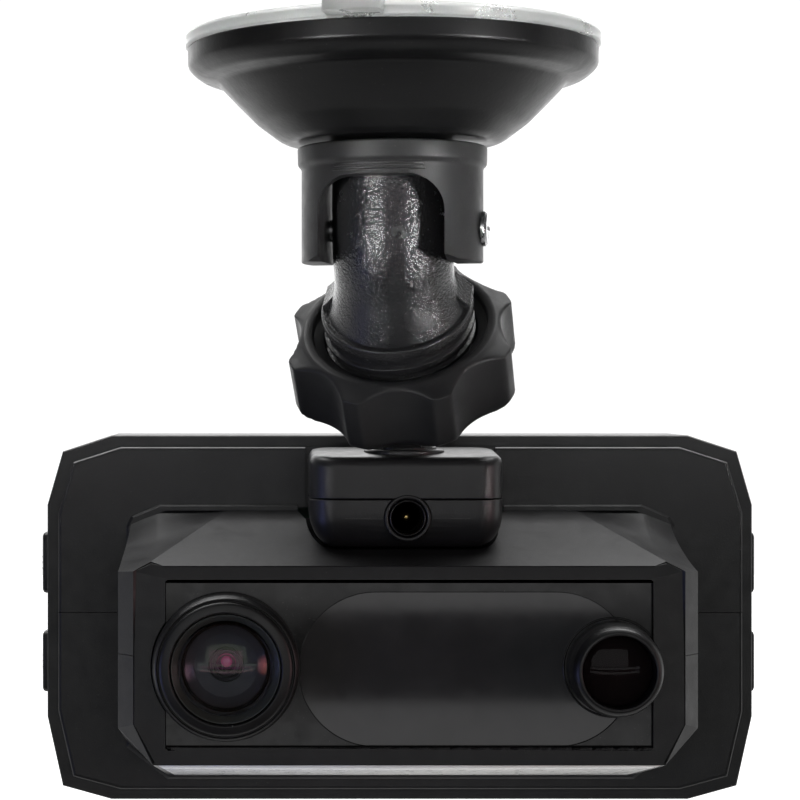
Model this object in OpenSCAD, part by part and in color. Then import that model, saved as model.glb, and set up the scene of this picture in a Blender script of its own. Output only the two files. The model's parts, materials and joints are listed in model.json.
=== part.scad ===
// Windscreen radar detector with a dash camera, a laser sensor and a powered dock.
// The origin is the middle of the suction face, with +Z into the glass and -Y towards the road.

/* [Casing] */
// Width of the rear casing
case_w = 110; // [106:1:114]
// Height of the rear casing
case_h = 56.6; // [54:0.2:60]
// Depth of the rear casing
case_d = 20; // [20:0.5:23]
// Wall of the casings
wall = 1.8; // [1.6:0.1:2.0]
// How far the front housing stands out of the casing
nose_d = 22.6; // [21.6:0.2:24]

/* [Camera] */
// Camera centre to the left of the middle
camera_x = -26.9; // [-28:0.1:-26.5]
// Camera centre below the middle
camera_z = -5; // [-5.6:0.1:-4.6]
// Radius of the camera's outer ring
camera_r = 10.8; // [10:0.1:11]
// Radius of the front lens
lens_r = 7; // [6:0.1:7]

/* [Sensors] */
// Radius of the round ends of the sensor window
window_r = 11.35; // [10.5:0.05:11.5]
// Straight length of the sensor window
window_len = 26.6; // [22:0.2:27]
// Laser sensor centre to the right of the middle
laser_x = 30; // [28:0.2:30]
// Radius of the laser sensor's flange
laser_r = 6.8; // [6:0.1:7]

/* [Dock] */
// Width of the dock
dock_w = 28.9; // [28:0.1:30]
// Depth of the dock
dock_d = 17.1; // [16:0.1:17.1]
// Radius of the power plug's bore
jack_r = 2.4; // [1.9:0.05:2.5]
// Clear length of the power plug's bore
jack_len = 5; // [4:0.5:6]

/* [Ball joint] */
// Radius of the ball
ball_r = 9; // [8.9:0.05:9.1]
// Ball centre below the glass
ball_drop = 47.7; // [46:0.1:50]
// Tilt of the clamp nut's axis
nut_tilt = 40; // [38:1:42]
// Radius over the clamp nut's lobes
nut_r = 17.7; // [17:0.1:18]
// Number of lobes
nut_lobes = 8; // [6:1:10]

/* [Arm and suction mount] */
// Turn of the mount about the vertical
yaw = -13; // [-15:1:15]
// Ball centre behind the cup's axis
arm_offset = 10.5; // [10:0.1:11]
// Radius of the arm's tube
tube_r = 8.9; // [8.6:0.1:9]
// Radius of the arm's bend
bend_r = 20; // [18:0.5:22]
// Radius of the gel cup
cup_r = 30.7; // [29:0.1:32]
// Height of the lever's pin below the glass
pin_drop = 29.2; // [29:0.1:30]
// Travel of the cup's stem
stem_travel = 2.2; // [1.5:0.1:2.3]

/* [Hidden] */
$fn = 64;
over = 1;

stud_y = -10;
stud_rise = 40.7;
ball_pos = [-arm_offset * sin(yaw), arm_offset * cos(yaw), -ball_drop];
device_pos = ball_pos - [0, stud_y, stud_rise];

half_w = case_w / 2;
half_h = case_h / 2;
back_y = case_d;
plate_y = -1.5;
nose_y = -nose_d;
bezel_t = 2.2;
panel_y = nose_y + 1;
panel_t = 1.8;
panel_back = panel_y + panel_t;
seam_z = 0.9;
nose_seam_z = -3.4;
nose_half_w = 43.8;

window_x = 8.45;
window_z = -5.5;
laser_z = -5.2;
frame_x = 35.8;
frame_top = 7.7;
frame_bottom = -17.3;

dock_front = -19;
dock_back = dock_front + dock_d;
dock_bottom = 12.1;
dock_seam = 19.4;
dock_top = 26.8;
dock_corner = 4;
dock_gap = 0.4;
pocket_z = 11.75;
pocket_front = -18;
jack_z = 16.6;
jack_out = 2.75;
stud_flange_z = 22.6;

button_zs = [8.3, -7.3];
button_y = 5;
button_len = 9.6;
button_t = 4;
button_out = 0.9;
switch_x = 47.6;
screw_x = 49.8;
screw_z = 18;

card_x = -32;
card_y = 10.1;

// An outline of the rear casing, drawn in by i all round
function case_outline(i) = [
    for (p = [[45, half_h], [52.6, 25.8], [half_w, 17.5], [half_w, -15.4], [52.6, -26.2],
              [45, -half_h], [-45, -half_h], [-52.6, -26.2], [-half_w, -15.4], [-half_w, 17.5],
              [-52.6, 25.8], [-45, half_h]])
        [p[0] * (1 - i / half_w), p[1] * (1 - i / half_h)]
];

// Mirrors half an outline, listed from the top middle down the right-hand side
function both_sides(half) = concat(half, [for (i = [len(half) - 1:-1:0]) [-half[i][0], half[i][1]]]);

function nose_front(i) = both_sides([[38 - i, 9.6 - i], [40.7 - i, 8.75 - i], [40.7 - i, -13.5 + i / 2],
                                     [37.3 - i, -19.4 + i]]);
function nose_middle(i) = both_sides([[33 - i, 12.1 - i], [nose_half_w - i, 9.6 - i],
                                      [nose_half_w - i, -15.5 + i], [37 - i, -21.2 + i]]);
function nose_base(i) = both_sides([[26.8 - i, 17.1 - i], [41 - i, 11.5 - i], [42.5 - i, -19 + i],
                                    [36.2 - i, -24.5 + i]]);
function nose_foot(i) = both_sides([[37.6 - i, 17.7 - i], [41.9 - i, 15.9 - i], [42.5 - i, -20 + i],
                                    [36.2 - i, -24.9 + i]]);

// A plate of the given outline in X and Z, from y0 back to y1
module plate(y0, y1, outline) {
    translate([0, y1, 0]) rotate([90, 0, 0]) linear_extrude(y1 - y0) polygon(outline);
}

// A box from its low corner to its high corner
module box(low, high) {
    translate(low) cube(high - low);
}

// An upright block with round vertical corners
module round_block(low, high, r) {
    box([low[0] + r, low[1], low[2]], [high[0] - r, high[1], high[2]]);
    box([low[0], low[1] + r, low[2]], [high[0], high[1] - r, high[2]]);
    for (x = [low[0] + r, high[0] - r])
        for (y = [low[1] + r, high[1] - r])
            translate([x, y, low[2]]) cylinder(h = high[2] - low[2], r = r, $fn = 32);
}

// A cylinder along Y from y0 back to y1
module rod_y(x, z, r, y0, y1) {
    translate([x, y0, z]) rotate([-90, 0, 0]) cylinder(h = y1 - y0, r = r);
}

// A solid of revolution about a lens axis, its points given as [radius, y]
module turned_y(x, z, points) {
    translate([x, 0, z]) rotate([-90, 0, 0]) rotate_extrude() polygon(points);
}

// A stadium-shaped plate, its round ends of radius r
module stadium(y0, y1, r) {
    for (s = [-1, 1]) rod_y(window_x + s * window_len / 2, window_z, r, y0, y1);
    box([window_x - window_len / 2, y0, window_z - r], [window_x + window_len / 2, y1, window_z + r]);
}

module in_device() { translate(device_pos) children(); }
module in_arm() { rotate([0, 0, yaw]) children(); }
module in_ball_axis() {
    in_arm() translate([0, arm_offset, -ball_drop]) rotate([nut_tilt, 0, 0]) children();
}

/* ---- suction mount ---- */

bell_top = -2.5;
bell_floor = -13.5;
bell_bottom = -16.5;
stem_r = 4.4;
stem_top = -5;
stem_head_r = 8;
pin_r = 1.6;
stem_bore_r = 5;
bore_bottom = -34.5;
spigot_r = 8.2;
tab_w = 8;
tab_reach = 34.3;

module suction_cup() {
    color([0.8, 0.82, 0.8]) {
        rotate_extrude($fn = 96)
            polygon([[0, 0], [cup_r - 0.5, 0], [cup_r, -0.6], [cup_r - 0.3, bell_top],
                     [25, bell_top], [21.5, -5.6], [12, -9.6], [stem_head_r + 0.4, -9.6],
                     [stem_head_r + 0.4, -2.4], [0, -2.4]]);
        in_arm() box([-tab_w / 2, -tab_reach, -2.2], [tab_w / 2, -cup_r + 2, 0]);
    }
}

module suction_bell() {
    color([0.13, 0.13, 0.14])
        rotate_extrude($fn = 96)
            polygon([[spigot_r, bell_floor], [spigot_r, bell_bottom], [15.5, bell_bottom], [16.6, -15.9],
                     [20.1, -13.4], [22.8, -10.7], [24.9, -8.4], [25.8, -7.4], [28.3, -7.1], [29.6, -6.2],
                     [30.2, -4.6], [30.2, bell_top], [26.6, bell_top], [22.6, -6.6], [18.2, -11.8],
                     [15, bell_floor]]);
}

spring_r = 6.3;
spring_wire = 0.55;
spring_turns = 4;
spring_sides = 6;
spring_steps = 14;
spring_low = bell_floor + spring_wire;
spring_high = stem_top - 1.5 - spring_wire - 0.02;

// A coil spring's wire, swept ring by ring around its helix
module release_spring() {
    steps = spring_turns * spring_steps;
    rise = (spring_high - spring_low) / steps;
    points = [for (i = [0:steps], k = [0:spring_sides - 1])
        let (a = i * 360 / spring_steps, b = k * 360 / spring_sides)
        [(spring_r + spring_wire * cos(b)) * cos(a), (spring_r + spring_wire * cos(b)) * sin(a),
         spring_low + i * rise + spring_wire * sin(b)]];
    walls = [for (i = [0:steps - 1], k = [0:spring_sides - 1])
        let (n = (k + 1) % spring_sides)
        [(i + 1) * spring_sides + k, (i + 1) * spring_sides + n, i * spring_sides + n, i * spring_sides + k]];
    low_end = [for (k = [0:spring_sides - 1]) k];
    high_end = [for (k = [spring_sides - 1:-1:0]) steps * spring_sides + k];
    color("silver") polyhedron(points, concat(walls, [low_end, high_end]), 4);
}

module cup_stem() {
    color([0.2, 0.2, 0.2]) in_arm() difference() {
        union() {
            translate([0, 0, stem_top - 1.5]) cylinder(h = 1.5, r = stem_head_r);
            translate([0, 0, -pin_drop - 4.3]) cylinder(h = pin_drop + 4.3 + stem_top - 1, r = stem_r);
        }
        translate([-stem_r - over, 0, -pin_drop]) rotate([0, 90, 0])
            cylinder(h = 2 * (stem_r + over), r = pin_r + 0.03);
    }
}

lever_in = 9.2;
lever_out = 13.4;
lip_out = 14;

module lever_pin() {
    color("silver") in_arm() translate([0, 0, -pin_drop]) rotate([0, 90, 0]) {
        translate([0, 0, -lever_out + 0.4]) cylinder(h = 2 * lever_out - 0.4, r = pin_r);
        difference() {
            translate([0, 0, lever_out + 0.05]) cylinder(h = 0.75, r = 2.6);
            box([-0.3, -3, lever_out + 0.4], [0.3, 3, lever_out + 2]);
        }
    }
}

module lock_lever() {
    lever_top = pin_drop - 17.1;
    arch_top = pin_drop - 22;
    foot = -4.9;
    side = [[-lip_out - over, lever_top], [1, lever_top], [5, 5], [5, -3], [3, foot], [-6.7, foot],
            [-lip_out, foot + 7]];
    color([0.14, 0.14, 0.15]) in_arm() translate([0, 0, -pin_drop]) difference() {
        intersection() {
            union() {
                translate([0, 0, foot]) cylinder(h = lever_top - foot, r = lever_out);
                translate([0, 0, lever_top - 2.7]) cylinder(h = 2.7, r = lip_out);
            }
            rotate([90, 0, 90]) translate([0, 0, -20]) linear_extrude(40) polygon(side);
        }
        // the space that the arm's tube stands in, open behind the web
        box([-lever_in, -lever_out + 4.1, foot - over], [lever_in, 10, lever_top + over]);
        // the arch through the web
        box([-lever_in, -20, foot - over], [lever_in, 0, arch_top - 5]);
        box([-lever_in + 5, -20, arch_top - 5 - over], [lever_in - 5, 0, arch_top]);
        for (s = [-1, 1]) rod_y(s * (lever_in - 5), arch_top - 5, 5, -20, 0);
        rotate([0, 90, 0]) cylinder(h = 40, r = pin_r + 0.05, center = true);
        // grip lines across the web
        for (i = [0:2]) box([-6.6 + 0.3 * i, -lever_out - 0.5, arch_top + 0.45 + 0.55 * i],
                            [6.6 - 0.3 * i, -lever_out + 0.3, arch_top + 0.7 + 0.55 * i]);
    }
}

straight = (arm_offset - bend_r * (1 - cos(nut_tilt))) / sin(nut_tilt);
bend_top = ball_drop - straight * cos(nut_tilt) - bend_r * sin(nut_tilt);
socket_r = 10.9;
thread_r = 11.4;
nut_bore = 11.6;
collar_low = 8.4;
collar_high = 10;
seat_r = 5.2;

module arm_elbow() {
    color([0.12, 0.12, 0.13]) difference() {
        union() {
            in_arm() {
                translate([0, 0, -bend_top]) cylinder(h = bend_top + bell_bottom, r = tube_r);
                translate([0, 0, bell_bottom]) cylinder(h = bell_floor - bell_bottom, r = spigot_r - 0.02);
                translate([0, bend_r, -bend_top]) rotate([-90, 0, -90])
                    rotate_extrude(angle = nut_tilt) translate([bend_r, 0]) circle(r = tube_r);
            }
            in_ball_axis() {
                translate([0, 0, -1.5]) cylinder(h = collar_low + 1.5, r = socket_r);
                for (t = [-1, 1, 3, 5, 7]) translate([0, 0, t]) cylinder(h = 0.8, r = thread_r);
                translate([0, 0, collar_low]) cylinder(h = collar_high - collar_low, r = thread_r);
                // side gussets between the collar and the tube
                for (s = [-1, 1]) rotate([90, 0, 0]) translate([0, 0, -4]) linear_extrude(5)
                    polygon([[s * 7, 9], [s * 11.2, 9], [s * 11.2, 10.8], [s * 9.05, 13.4], [s * 7, 13.4]]);
            }
        }
        in_arm() translate([0, 0, bore_bottom]) cylinder(h = -bore_bottom + over, r = stem_bore_r);
        in_arm() for (z = [-pin_drop, -pin_drop + stem_travel])
            translate([-15, 0, z]) rotate([0, 90, 0]) cylinder(h = 30, r = pin_r + 0.15);
        in_arm() box([-15, -pin_r - 0.15, -pin_drop], [15, pin_r + 0.15, -pin_drop + stem_travel]);
        in_ball_axis() {
            sphere(r = ball_r + 0.1);
            translate([0, 0, -3]) cylinder(h = 3, r = ball_r + 0.1);
            cylinder(h = 11, r = seat_r + 0.05);
            // the slots that let the socket's fingers close on the ball
            for (a = [45:90:315]) rotate([0, 0, a]) box([6, -0.6, -3], [13, 0.6, 6.2]);
        }
    }
}

module ball_seat() {
    color([0.25, 0.25, 0.25]) in_ball_axis() difference() {
        translate([0, 0, 7]) cylinder(h = 3.9, r = seat_r);
        sphere(r = ball_r + 0.05);
    }
}

nut_low = -5.2;
nut_edge = 5;
nut_lip = 6.3;
nut_phase = 5;
nut_chamfer = 1.2;
lip_r = 14.5;
lip_bore = 13.2;
scallop_r = 10;
scallop_depth = 2.56;

module clamp_nut() {
    color([0.13, 0.13, 0.14]) in_ball_axis() difference() {
        union() {
            translate([0, 0, nut_low]) cylinder(h = nut_chamfer, r1 = nut_r - 1.4, r2 = nut_r);
            translate([0, 0, nut_low + nut_chamfer])
                cylinder(h = nut_edge - nut_low - nut_chamfer, r = nut_r);
            translate([0, 0, nut_edge]) cylinder(h = nut_lip - nut_edge, r1 = nut_r, r2 = lip_r);
        }
        translate([0, 0, -1.9]) cylinder(h = 20, r = nut_bore);
        translate([0, 0, nut_lip - 1.4]) cylinder(h = 3, r = lip_bore);
        sphere(r = ball_r + 0.15);
        translate([0, 0, nut_low - 0.01]) cylinder(h = 1.3, r1 = 9.7, r2 = 8.4);
        for (i = [0:nut_lobes - 1]) rotate([0, 0, -90 + nut_phase + i * 360 / nut_lobes])
            translate([nut_r + scallop_r - scallop_depth, 0, nut_low - over]) cylinder(h = 20, r = scallop_r);
    }
}

module ball_stud() {
    color([0.15, 0.15, 0.16]) in_device() translate([0, stud_y, 0]) {
        translate([0, 0, stud_flange_z]) cylinder(h = 1.6, r = 6.2);
        translate([0, 0, stud_flange_z + 1.6 - 0.01]) cylinder(h = 2.6, r = 4.9);
        translate([0, 0, stud_flange_z + 4]) cylinder(h = 6.4, r1 = 4.9, r2 = 3.3);
        ball_and_neck();
    }
}

// The ball, with the short neck below it
module ball_and_neck() {
    translate([0, 0, stud_rise]) sphere(r = ball_r);
    translate([0, 0, stud_rise - 10]) cylinder(h = 4, r = 3.3);
}

/* ---- dock ---- */

dock_low = [-dock_w / 2, dock_front, dock_bottom];
dock_high = [dock_w / 2, dock_back, dock_top];

module dock_top_cover() {
    color([0.14, 0.14, 0.15]) in_device() difference() {
        intersection() {
            round_block([dock_low[0], dock_low[1], dock_seam], dock_high, dock_corner);
            rotate([90, 0, 90]) translate([0, 0, -20]) linear_extrude(40)
                polygon([[dock_front, 19], [dock_back, 19], [dock_back, 26.8], [dock_front + 1.5, 25.7],
                         [dock_front, 24.6]]);
        }
        round_block(dock_low + [1.6, 1.6, 0], dock_high - [1.6, 1.6, 2.5], 3);
        translate([0, stud_y, dock_bottom]) cylinder(h = 20, r = 4.95);
    }
}

module dock_lower_shell() {
    color([0.13, 0.13, 0.14]) in_device() difference() {
        union() {
            difference() {
                hull() {
                    round_block([dock_low[0], dock_front, dock_seam - 1.6],
                                [dock_high[0], dock_back, dock_seam], dock_corner);
                    round_block([dock_low[0] + 1.2, dock_front + 1.2, dock_bottom + 1.8],
                                [dock_high[0] - 1.2, dock_back, dock_bottom + 2], dock_corner);
                    round_block([dock_low[0] + 3.6, dock_front + 3.6, dock_bottom],
                                [dock_high[0] - 3.6, dock_back, dock_bottom + 0.1], dock_corner - 1);
                }
                round_block(dock_low + [3, 2.6, 1.6],
                            [dock_high[0] - 3, dock_back - 1.6, dock_seam + over], 2.5);
            }
            // the boss round the power plug's socket, cut off at the seam
            intersection() {
                rod_y(0, jack_z, 4.2, dock_front + 1, dock_front + 7);
                box([-10, dock_front, dock_bottom], [10, 0, dock_seam]);
            }
            for (s = [-1, 1]) translate([s * 9.3, -6, dock_bottom + 1]) cylinder(h = 6.2, r = 1.8);
        }
        rod_y(0, jack_z, jack_out + 0.02, dock_front - over, dock_front + 12);
        for (x = [-3, -1, 1, 3]) translate([x, -4.6, dock_bottom - over]) cylinder(h = 4, r = 0.62);
        for (s = [-1, 1]) translate([s * 9.3, -6, dock_bottom + 2.2]) cylinder(h = 8, r = 0.92);
        // the seam line that runs from the socket to the sides
        for (s = [-1, 1]) box([s > 0 ? 4.6 : -9, dock_front - 0.1, jack_z - 0.12],
                              [s > 0 ? 9 : -4.6, dock_front + 0.25, jack_z + 0.12]);
    }
}

module power_jack_sleeve() {
    color("silver") in_device() turned_y(0, jack_z, [
        [jack_r, dock_front - 0.2], [jack_out, dock_front - 0.2], [jack_out, dock_front + 9.4],
        [0, dock_front + 9.4],
        [0, dock_front + 8.6], [1.9, dock_front + 8.6], [1.9, dock_front - 0.2 + jack_len],
        [jack_r, dock_front - 0.2 + jack_len]]);
}

module power_jack_contact() {
    color("gold") in_device() rod_y(0, jack_z, 0.65, dock_front + jack_len, dock_front + 8.6);
}

module dock_board() {
    color([0.1, 0.35, 0.2]) in_device()
        box([-7.2, -15.4, dock_seam + 0.8], [7.2, -4.2, dock_seam + 1.8]);
}

module dock_magnets() {
    color("silver") in_device() for (s = [-1, 1])
        translate([s * 6.6, -11.2, dock_bottom + 1.65]) cylinder(h = 1.8, r = 2.2);
}

module dock_contact_pins() {
    color("gold") in_device() for (x = [-3, -1, 1, 3])
        translate([x, -4.6, dock_bottom - 0.2]) cylinder(h = 5, r = 0.55);
}

module dock_screws() {
    color("silver") in_device() for (s = [-1, 1]) translate([s * 9.3, -6, 0]) {
        translate([0, 0, dock_bottom + 2.3]) cylinder(h = 5.4, r = 0.9);
        translate([0, 0, dock_bottom + 7.3]) cylinder(h = 1, r = 1.6);
    }
}

/* ---- casings ---- */

module rear_shell() {
    color([0.15, 0.15, 0.16]) in_device() difference() {
        union() {
            plate(0, back_y - 1.5, case_outline(0));
            hull() {
                plate(back_y - 1.51, back_y - 1.5, case_outline(0));
                plate(back_y - 0.01, back_y, case_outline(1.6));
            }
        }
        plate(-over, back_y - 2.2, case_outline(wall));
        box([-46, back_y - 1.2, -23], [46, back_y + over, 23]);
        box([-31, back_y - 3, -18], [31, back_y + over, 18]);
        for (s = [-1, 1]) for (z = button_zs)
            box([s > 0 ? 50 : -60, button_y - button_t / 2 - 0.15, z - button_len / 2 - 0.15],
                [s > 0 ? 60 : -50, button_y + button_t / 2 + 0.15, z + button_len / 2 + 0.15]);
        for (x = [-screw_x, screw_x]) for (z = [-screw_z, screw_z]) {
            rod_y(x, z, 1.15, back_y - 4, back_y + over);
            rod_y(x, z, 2.2, back_y - 1.3, back_y + over);
        }
        // the memory card's slot and the speaker's holes, in the underside
        box([card_x - 5.75, card_y - 0.75, -40], [card_x + 5.75, card_y + 0.75, -20]);
        for (i = [0:4]) translate([31 + 2.6 * i, 12, -40]) cylinder(h = 20, r = 0.7);
    }
}

// Both front shells together: the plate, the housing that stands out of it, and its lip
module front_shells() {
    difference() {
        union() {
            plate(plate_y, 0, case_outline(1.6));
            difference() {
                plate(0, 2.4, case_outline(2.05));
                plate(-over, 4, case_outline(3.2));
                for (s = [-1, 1]) for (z = button_zs)
                    box([s > 0 ? 48 : -56, 1.8, z - 7], [s > 0 ? 56 : -48, 5, z + 7]);
            }
            hull() {
                plate(nose_y + bezel_t, nose_y + bezel_t + 0.01, nose_front(0));
                plate(-15, -14.99, nose_middle(0));
                plate(plate_y - 0.01, plate_y, nose_base(0));
            }
            hull() {
                plate(plate_y - 1.2, plate_y - 1.19, nose_foot(1));
                plate(plate_y - 0.01, plate_y, nose_foot(0));
            }
            for (x = [-screw_x, screw_x]) for (z = [-screw_z, screw_z])
                rod_y(x, z, 2.3, -0.5, back_y - 2.25);
        }
        hull() {
            plate(nose_y + bezel_t - 0.01, nose_y + bezel_t, nose_front(wall));
            plate(-15, -14.99, nose_middle(wall));
            plate(plate_y + 1.7, plate_y + 1.8, nose_base(wall));
        }
        round_block([dock_low[0] - dock_gap, dock_front - 1, pocket_z],
                    [dock_high[0] + dock_gap, plate_y - 0.05, 40], dock_corner + 0.4);
        for (x = [-screw_x, screw_x]) for (z = [-screw_z, screw_z]) rod_y(x, z, 1.03, 6, back_y);
    }
    // the pocket that the dock seats in
    difference() {
        round_block([dock_low[0] - dock_gap - 1.4, -16.6, pocket_z - 1.8],
                    [dock_high[0] + dock_gap + 1.4, plate_y + 0.5, 16.2], dock_corner);
        round_block([dock_low[0] - dock_gap, dock_front - 1, pocket_z],
                    [dock_high[0] + dock_gap, plate_y - 0.05, 40], dock_corner + 0.4);
        box([-30, -30, 0], [30, pocket_front, 40]);
        rotate([90, 0, 90]) translate([0, 0, -30]) linear_extrude(60)
            polygon([[-30, 7], [-22.6, 9.4], [-1.5, 16.9], [-1.5, 30], [-30, 30]]);
        for (x = [-3, -1, 1, 3]) translate([x, -4.6, 5]) cylinder(h = 10, r = 0.82);
    }
}

// Everything above the seam between the two front shells, which is lower across the housing
module above_seam() {
    box([-60, -40, seam_z], [60, back_y, 40]);
    box([-nose_half_w - 0.2, -40, nose_seam_z], [nose_half_w + 0.2, back_y, 40]);
}

module front_shell_upper() {
    color([0.14, 0.14, 0.15]) in_device() intersection() {
        front_shells();
        above_seam();
    }
}

module front_shell_lower() {
    color([0.15, 0.15, 0.16]) in_device() difference() {
        front_shells();
        above_seam();
    }
}

module front_bezel() {
    color([0.14, 0.14, 0.15]) in_device() difference() {
        plate(nose_y, nose_y + bezel_t, nose_front(0));
        box([-frame_x, nose_y - over, frame_bottom], [frame_x, 0, frame_top]);
        rod_y(camera_x, camera_z, camera_r + 0.1, nose_y - over, panel_y + 0.02);
        rod_y(laser_x, laser_z, laser_r + 0.1, nose_y - over, panel_y + 0.02);
    }
}

module front_panel() {
    color([0.04, 0.04, 0.05]) in_device() difference() {
        box([-frame_x + 0.1, panel_y, frame_bottom + 0.1], [frame_x - 0.1, panel_back, frame_top - 0.1]);
        stadium(panel_y - over, panel_y + 0.9, window_r + 0.05);
        rod_y(camera_x, camera_z, 8.25, -30, 0);
        rod_y(laser_x, laser_z, 5.45, -30, 0);
    }
}

module sensor_window() {
    color([0.08, 0.08, 0.09]) in_device() difference() {
        stadium(panel_y + 0.2, panel_y + 0.9, window_r);
        rod_y(camera_x, camera_z, camera_r + 0.1, -30, 0);
        rod_y(laser_x, laser_z, 5.45, -30, 0);
    }
}

/* ---- camera ---- */

lens_seat = -21.8;
lens_edge = -23.9;
barrel_front = nose_y - 4.3;

module camera_barrel() {
    color([0.05, 0.05, 0.06]) in_device() turned_y(camera_x, camera_z, [
        [camera_r, panel_y], [camera_r, nose_y - 1.4], [camera_r - 0.6, nose_y - 2.2], [9.8, nose_y - 3.3],
        [9.5, barrel_front], [8.3, barrel_front], [8.2, lens_edge - 0.1], [lens_r + 0.05, lens_edge - 0.1],
        [lens_r + 0.05, lens_seat], [6.3, lens_seat], [6.3, -12], [8.2, -12], [8.2, panel_y]]);
}

module lens_retaining_ring() {
    color([0.16, 0.17, 0.17]) in_device() turned_y(camera_x, camera_z, [
        [6.7, lens_edge - 0.12], [8.05, lens_edge - 0.12], [8.05, barrel_front + 0.9],
        [7.7, barrel_front + 0.6],
        [7.3, barrel_front + 0.9]]);
}

// A dished lens: a cylinder between an outer and an inner sphere
module camera_lens() {
    rise = 9.2;
    color([0.1, 0.1, 0.14]) in_device() difference() {
        intersection() {
            rod_y(camera_x, camera_z, lens_r, barrel_front, lens_seat - 0.02);
            translate([camera_x, barrel_front + 0.55 + rise, camera_z]) sphere(r = rise);
        }
        translate([camera_x, lens_edge + 5.3, camera_z]) sphere(r = 5.9);
    }
}

module lens_cell() {
    color([0.06, 0.06, 0.07]) in_device() turned_y(camera_x, camera_z, [
        [6.2, -21.4], [4.4, -20.4], [3.3, -20.4], [3.3, -19.6], [2.5, -19.6], [2.5, -11], [6.2, -11]]);
}

module rear_lens_group() {
    color([0.3, 0.05, 0.2]) in_device() {
        intersection() {
            rod_y(camera_x, camera_z, 2.45, -21, -17);
            translate([camera_x, -16.9, camera_z]) sphere(r = 3.3);
        }
        rod_y(camera_x, camera_z, 2.45, -14, -12);
    }
}

module image_sensor_board() {
    color([0.1, 0.35, 0.2]) in_device() {
        box([camera_x - 9, -9.9, camera_z - 9], [camera_x + 9, -8.7, camera_z + 9]);
        box([camera_x - 2.3, -10.7, camera_z - 2.3], [camera_x + 2.3, -9.9, camera_z + 2.3]);
    }
}

/* ---- laser sensor ---- */

laser_front = panel_y - 6.6;

module laser_barrel() {
    color([0.05, 0.05, 0.06]) in_device() turned_y(laser_x, laser_z, [
        [laser_r, panel_y], [laser_r, panel_y - 1], [6.55, panel_y - 1.3], [6.35, laser_front + 0.3],
        [6.1, laser_front], [5.35, laser_front], [5.3, laser_front + 1.3], [4.9, laser_front + 1.3],
        [4.9, -15], [5.4, -15], [5.4, panel_y]]);
}

module laser_lens() {
    crown = 16;
    front = laser_front + 0.2;
    dome = [for (i = [0:6]) let (r = 5.25 * i / 6) [r, front + crown - sqrt(crown * crown - r * r)]];
    color([0.1, 0.05, 0.06]) in_device() turned_y(laser_x, laser_z,
        concat(dome, [[5.25, laser_front + 1.28], [0, laser_front + 1.28]]));
}

module laser_sensor_board() {
    color([0.1, 0.35, 0.2]) in_device() {
        rod_y(laser_x, laser_z, 5.4, -14.9, -13.7);
        rod_y(laser_x, laser_z, 2.4, -17.4, -14.9);
    }
}

/* ---- radar and boards ---- */

module radar_horn() {
    color("silver") in_device() difference() {
        box([-11, -19.5, -13.5], [21.5, -7, 5.2]);
        box([-9.6, -21, -12.1], [20.1, -16, 3.8]);
        box([-6, -17, -9.5], [16.5, -12.5, 1.2]);
        box([-2, -14, -7], [12.5, -8.2, -1.3]);
    }
}

module radar_board() {
    color([0.1, 0.35, 0.2]) in_device() box([-15, -6.95, -15], [24, -5.75, 7]);
}

module gps_antenna() {
    color([0.85, 0.82, 0.72]) in_device() {
        box([-34, 1, 20.6], [-18, 17, 24.6]);
        box([-32, 3, 24.6], [-20, 15, 24.8]);
    }
}

module main_board() {
    color([0.1, 0.35, 0.2]) in_device() {
        box([-47, 7, -22], [47, 8.6, 19.4]);
        for (c = [[-6, -12, 6], [12, 4, 5], [26, -8, 4]])
            box([c[0] - c[2], 6.1, c[1] - c[2]], [c[0] + c[2], 7, c[1] + c[2]]);
    }
}

module battery() {
    color([0.2, 0.3, 0.55]) in_device() box([-20, 9, -13], [22, 14, 14]);
}

module speaker() {
    color([0.3, 0.3, 0.32]) in_device() round_block([28, 9.2, -26.1], [44, 14.6, -22.6], 2.6);
}

module device_magnets() {
    color("silver") in_device() for (s = [-1, 1])
        translate([s * 6.6, -10.4, pocket_z - 3.75]) cylinder(h = 1.9, r = 2.4);
}

module contact_pads() {
    color("gold") in_device() for (x = [-3, -1, 1, 3])
        translate([x, -4.6, pocket_z - 2.4]) cylinder(h = 2.3, r = 0.78);
}

module display_glass() {
    color([0.03, 0.03, 0.04]) in_device() box([-45.8, back_y - 1.15, -22.8], [45.8, back_y - 0.15, 22.8]);
}

module display_module() {
    color([0.5, 0.5, 0.52]) in_device() {
        box([-34, back_y - 5.3, -20], [34, back_y - 2.25, 20]);
        box([-30.6, back_y - 2.25, -17.6], [30.6, back_y - 1.2, 17.6]);
    }
}

/* ---- buttons, card and screws ---- */

// A side button: s is the side that it stands out of
module side_button(s, z) {
    color([0.17, 0.17, 0.18]) in_device() mirror([s > 0 ? 0 : 1, 0, 0]) {
        box([53, button_y - button_t / 2, z - button_len / 2],
            [half_w + button_out, button_y + button_t / 2, z + button_len / 2]);
        box([52.3, button_y - 2.8, z - 5.6], [53.02, button_y + 2.8, z + 5.6]);
    }
}

module button_left_upper() { side_button(-1, button_zs[0]); }
module button_left_lower() { side_button(-1, button_zs[1]); }
module button_right_upper() { side_button(1, button_zs[0]); }
module button_right_lower() { side_button(1, button_zs[1]); }

module button_switches() {
    color("silver") in_device() for (s = [0, 1]) mirror([s, 0, 0]) for (z = button_zs) {
        box([switch_x, button_y - 1.3, z - 2.4], [switch_x + 3, button_y + 1.95, z + 2.4]);
        translate([switch_x + 3, button_y, z]) rotate([0, 90, 0]) cylinder(h = 1.15, r = 1.1);
    }
}

module card_socket() {
    color("silver") in_device() difference() {
        box([card_x - 7, 8.65, -25.9], [card_x + 7, 11.9, -11]);
        box([card_x - 5.7, card_y - 0.7, -27], [card_x + 5.7, card_y + 0.7, -12]);
    }
}

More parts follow.
